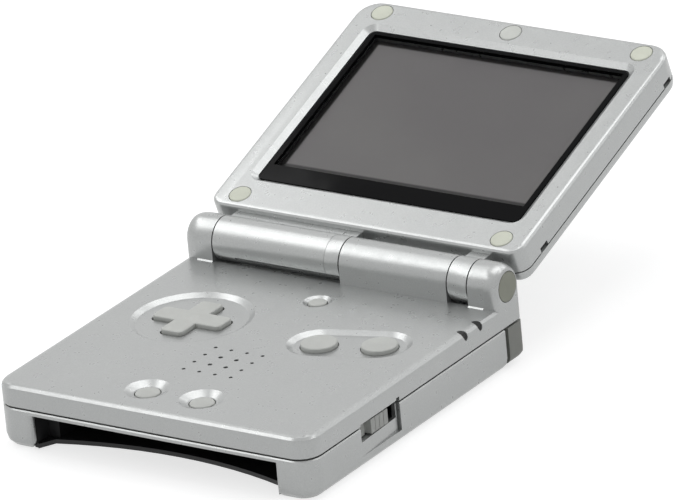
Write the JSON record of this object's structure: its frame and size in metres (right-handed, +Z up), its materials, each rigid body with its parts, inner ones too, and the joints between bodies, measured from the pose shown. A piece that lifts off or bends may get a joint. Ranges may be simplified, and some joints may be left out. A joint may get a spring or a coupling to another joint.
{
  "type": "handheld game console",
  "caption": "Clamshell handheld game console, open: screen lid on a barrel hinge, direction pad, face and shoulder buttons, side switches and a card slot in the front edge.",
  "frame": {"origin": "centre of the underside that the console rests on", "axes": "+X to the player's right along the hinge, +Y from the card slot to the hinge, +Z up"},
  "size_m": [0.082, 0.1545, 0.0473],
  "materials": {
    "shell_silver": "satin silver paint on moulded plastic",
    "button_grey": "plain moulded light grey",
    "shoulder_grey": "plain moulded olive grey",
    "liner_black": "plain moulded black",
    "battery_grey": "shrink-wrapped cell",
    "board_green": "varnished board",
    "inner_rubber": "matte contact rubber",
    "pad_rubber": "matte pale rubber",
    "cap_rubber": "matte olive grey cap",
    "window_black": "polished window with a black border",
    "panel_glass": "unlit display panel",
    "light_white": "light guide",
    "frame_dark": "moulded inner frame",
    "ribbon_amber": "flexible film",
    "steel": "plain steel"
  },
  "bodies": {
    "base": {"base_upper_shell": "shell_silver", "base_lower_shell": "shell_silver", "battery_cover": "shell_silver", "card_slot_liner": "liner_black", "card_connector": "liner_black", "power_switch_body": "liner_black", "volume_control_body": "liner_black", "link_socket": "liner_black", "power_socket": "liner_black", "indicator_lens_1": "liner_black", "indicator_lens_2": "liner_black", "battery_pack": "battery_grey", "main_board": "board_green", "direction_pad_rubber": "inner_rubber", "action_button_rubber": "inner_rubber", "menu_button_rubber": "inner_rubber", "light_button_rubber": "inner_rubber", "hinge_end_cap_left": "cap_rubber", "hinge_end_cap_right": "cap_rubber", "battery_cover_screw": "steel", "speaker": "steel", "hinge_click_unit": "steel", "hinge_pin_left": "steel", "shoulder_pin_left": "steel", "shoulder_pin_right": "steel", "shoulder_spring_left": "steel", "shoulder_spring_right": "steel", "base_screw_1": "steel", "base_screw_2": "steel", "base_screw_3": "steel", "base_screw_4": "steel"},
    "lid": {"lid_front_shell": "shell_silver", "lid_rear_shell": "shell_silver", "lid_pad_1": "pad_rubber", "lid_pad_2": "pad_rubber", "lid_pad_3": "pad_rubber", "lid_pad_4": "pad_rubber", "lid_pad_5": "pad_rubber", "screen_window": "window_black", "screen_panel": "panel_glass", "screen_light_unit": "light_white", "screen_frame": "frame_dark", "screen_ribbon": "ribbon_amber", "lid_screw_1": "steel", "lid_screw_2": "steel", "lid_screw_3": "steel", "lid_screw_4": "steel", "lid_screw_5": "steel"},
    "direction_pad_rocker": {"direction_pad_pivot": "inner_rubber"},
    "direction_pad": {"direction_pad": "button_grey"},
    "button_a": {"button_a": "button_grey"},
    "button_b": {"button_b": "button_grey"},
    "button_start": {"button_start": "button_grey"},
    "button_select": {"button_select": "button_grey"},
    "button_light": {"button_light": "button_grey"},
    "power_switch": {"power_switch_knob": "button_grey"},
    "volume_slider": {"volume_knob": "button_grey"},
    "shoulder_left": {"shoulder_button_left": "shoulder_grey"},
    "shoulder_right": {"shoulder_button_right": "shoulder_grey"}
  },
  "joints": [
    {"name": "lid_hinge", "type": "hinge", "parent": "base", "child": "lid", "pos_m": [0, 0.03703, 0.01888], "axis": [1, 0, 0], "range_deg": [0, 161.17]},
    {"name": "direction_pad_tilt_front_back", "type": "hinge", "parent": "base", "child": "direction_pad_rocker", "pos_m": [-0.02037, 0.00445, 0.01105], "axis": [1, 0, 0], "range_deg": [-3, 3], "stiffness_Nm_per_rad": 0.2},
    {"name": "direction_pad_tilt_left_right", "type": "hinge", "parent": "direction_pad_rocker", "child": "direction_pad", "pos_m": [-0.02037, 0.00445, 0.01105], "axis": [0, 1, 0], "range_deg": [-3, 3], "stiffness_Nm_per_rad": 0.2},
    {"name": "press_a", "type": "slide", "parent": "base", "child": "button_a", "axis": [0, 0, -1], "range_m": [0, 0.0005], "stiffness_N_per_m": 600, "springref_m": -0.0005},
    {"name": "press_b", "type": "slide", "parent": "base", "child": "button_b", "axis": [0, 0, -1], "range_m": [0, 0.0005], "stiffness_N_per_m": 600, "springref_m": -0.0005},
    {"name": "press_start", "type": "slide", "parent": "base", "child": "button_start", "axis": [0, 0, -1], "range_m": [0, 0.0005], "stiffness_N_per_m": 600, "springref_m": -0.0005},
    {"name": "press_select", "type": "slide", "parent": "base", "child": "button_select", "axis": [0, 0, -1], "range_m": [0, 0.0005], "stiffness_N_per_m": 600, "springref_m": -0.0005},
    {"name": "press_light", "type": "slide", "parent": "base", "child": "button_light", "axis": [0, 0, -1], "range_m": [0, 0.0005], "stiffness_N_per_m": 600, "springref_m": -0.0005},
    {"name": "power_switch_slide", "type": "slide", "parent": "base", "child": "power_switch", "axis": [0, 1, 0], "range_m": [0, 0.0024]},
    {"name": "volume_slide", "type": "slide", "parent": "base", "child": "volume_slider", "axis": [0, 1, 0], "range_m": [-0.0036, 0.0036]},
    {"name": "press_shoulder_left", "type": "hinge", "parent": "base", "child": "shoulder_left", "pos_m": [-0.0173, 0.0403, 0.0054], "axis": [0, 0, 1], "range_deg": [0, 2.3], "stiffness_Nm_per_rad": 0.3, "springref_deg": -1.15},
    {"name": "press_shoulder_right", "type": "hinge", "parent": "base", "child": "shoulder_right", "pos_m": [0.0173, 0.0403, 0.0054], "axis": [0, 0, -1], "range_deg": [0, 2.3], "stiffness_Nm_per_rad": 0.3, "springref_deg": -1.15}
  ]
}
